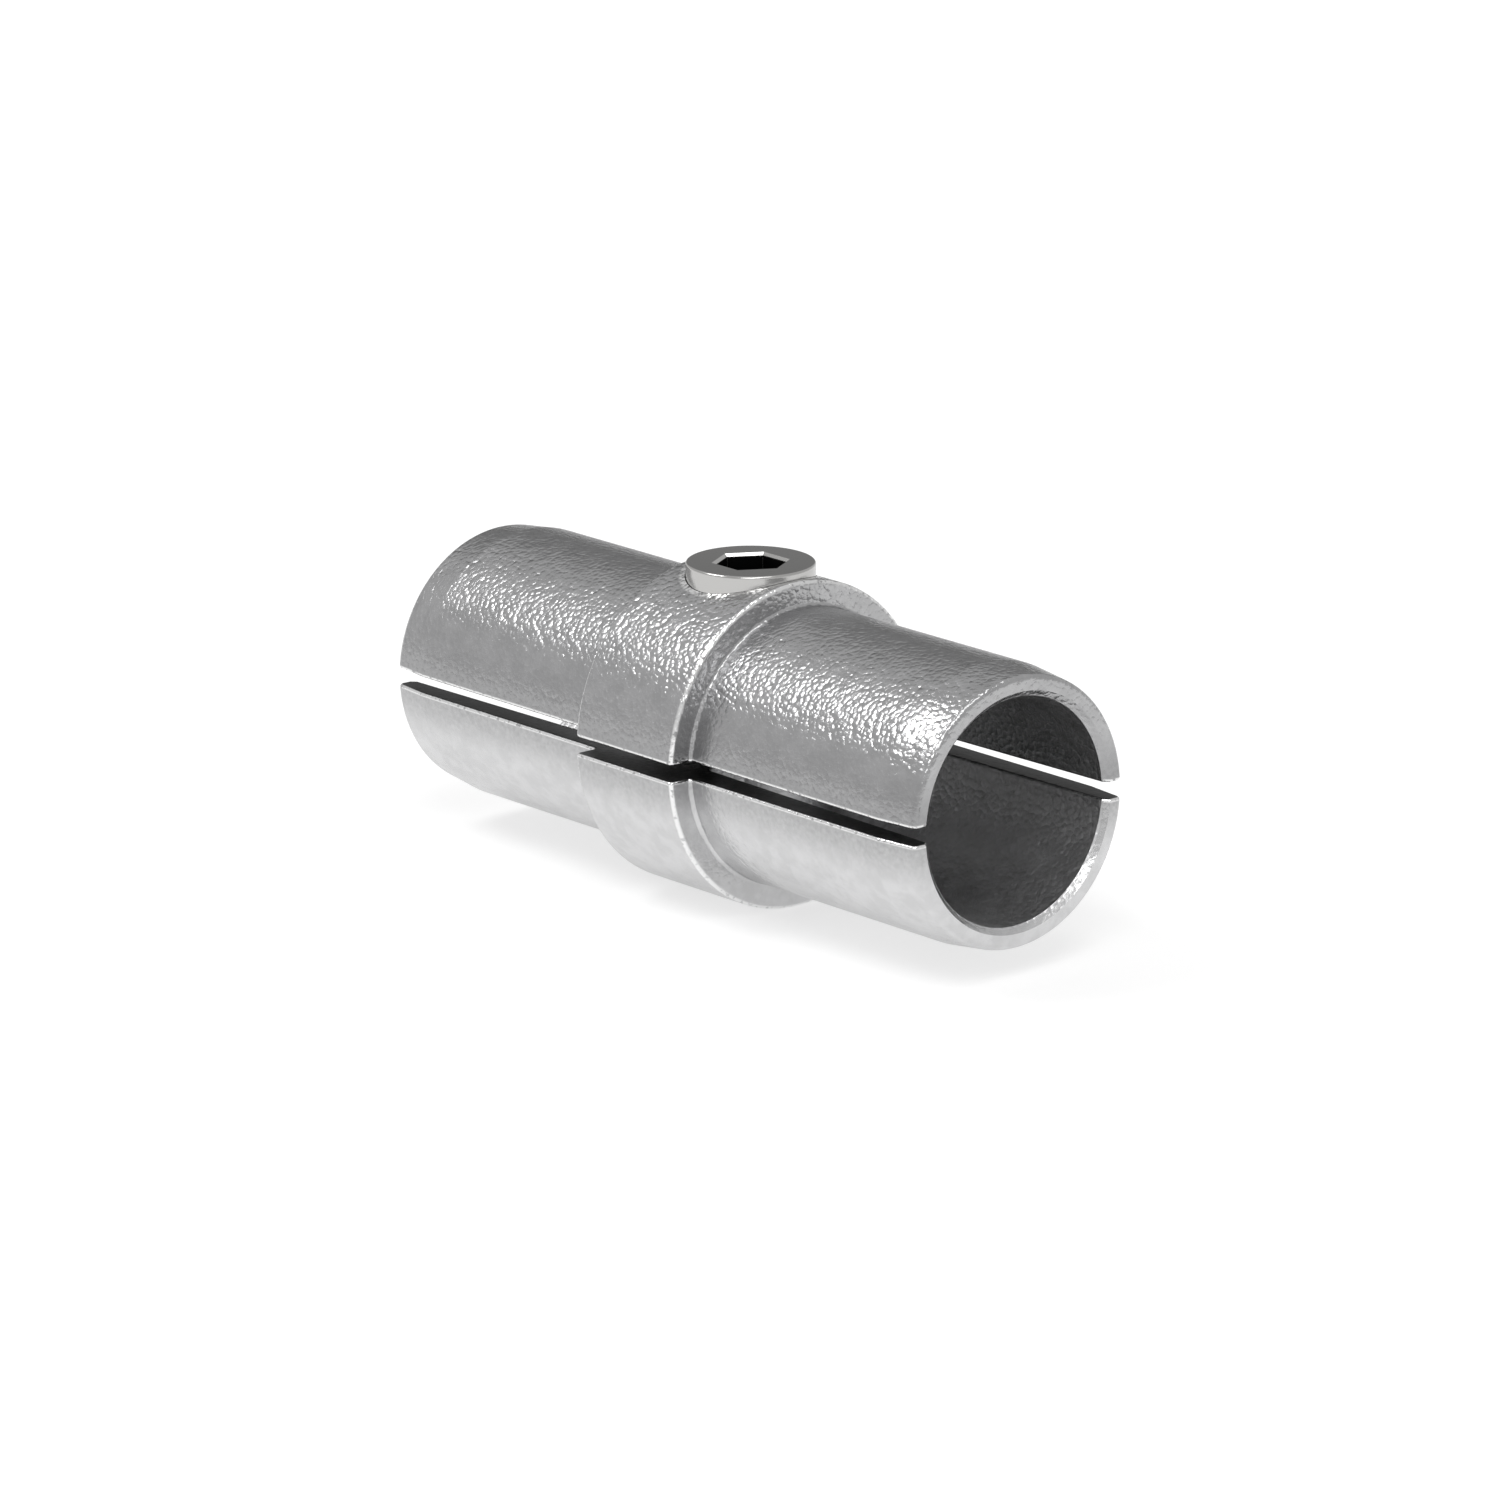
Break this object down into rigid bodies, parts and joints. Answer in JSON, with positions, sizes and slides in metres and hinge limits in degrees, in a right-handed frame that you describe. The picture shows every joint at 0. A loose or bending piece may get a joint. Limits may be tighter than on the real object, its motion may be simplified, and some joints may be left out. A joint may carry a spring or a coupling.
{
  "type": "internal tube connector",
  "caption": "Split expanding sleeve with a flush central band that joins two round tubes end to end from inside, spread by a screw with a hexagon socket.",
  "frame": {"origin": "the middle of the band, on the axis of the tubes, with the castings spread as they grip the tubes", "axes": "+X along the tubes, towards the right-hand sleeve's mouth; +Z along the screw, out of its head; +Y completes a right-handed frame and lies in the plane of the slot"},
  "size_m": [0.1006, 0.0422, 0.0434],
  "materials": {
    "galvanised_casting": "hot-dip galvanised, satin, finely pitted",
    "screw_steel": "turned and bright zinc plated"
  },
  "bodies": {
    "upper_half": {"upper_casting": "galvanised_casting"},
    "lower_half": {"lower_casting": "galvanised_casting"},
    "screw": {"expander_screw": "screw_steel"}
  },
  "joints": [
    {"name": "spread_slide", "type": "slide", "parent": "upper_half", "child": "lower_half", "axis": [0, 0, 1], "range_m": [-0.00134, 0.002]},
    {"name": "screw_turn", "type": "hinge", "parent": "lower_half", "child": "screw", "pos_m": [0, 0, 0], "axis": [0, 0, 1], "range_deg": [-360, 540]}
  ],
  "couplings": [
    {"joint": "screw_turn", "follows": "spread_slide", "rad_per_m": 4700}
  ]
}
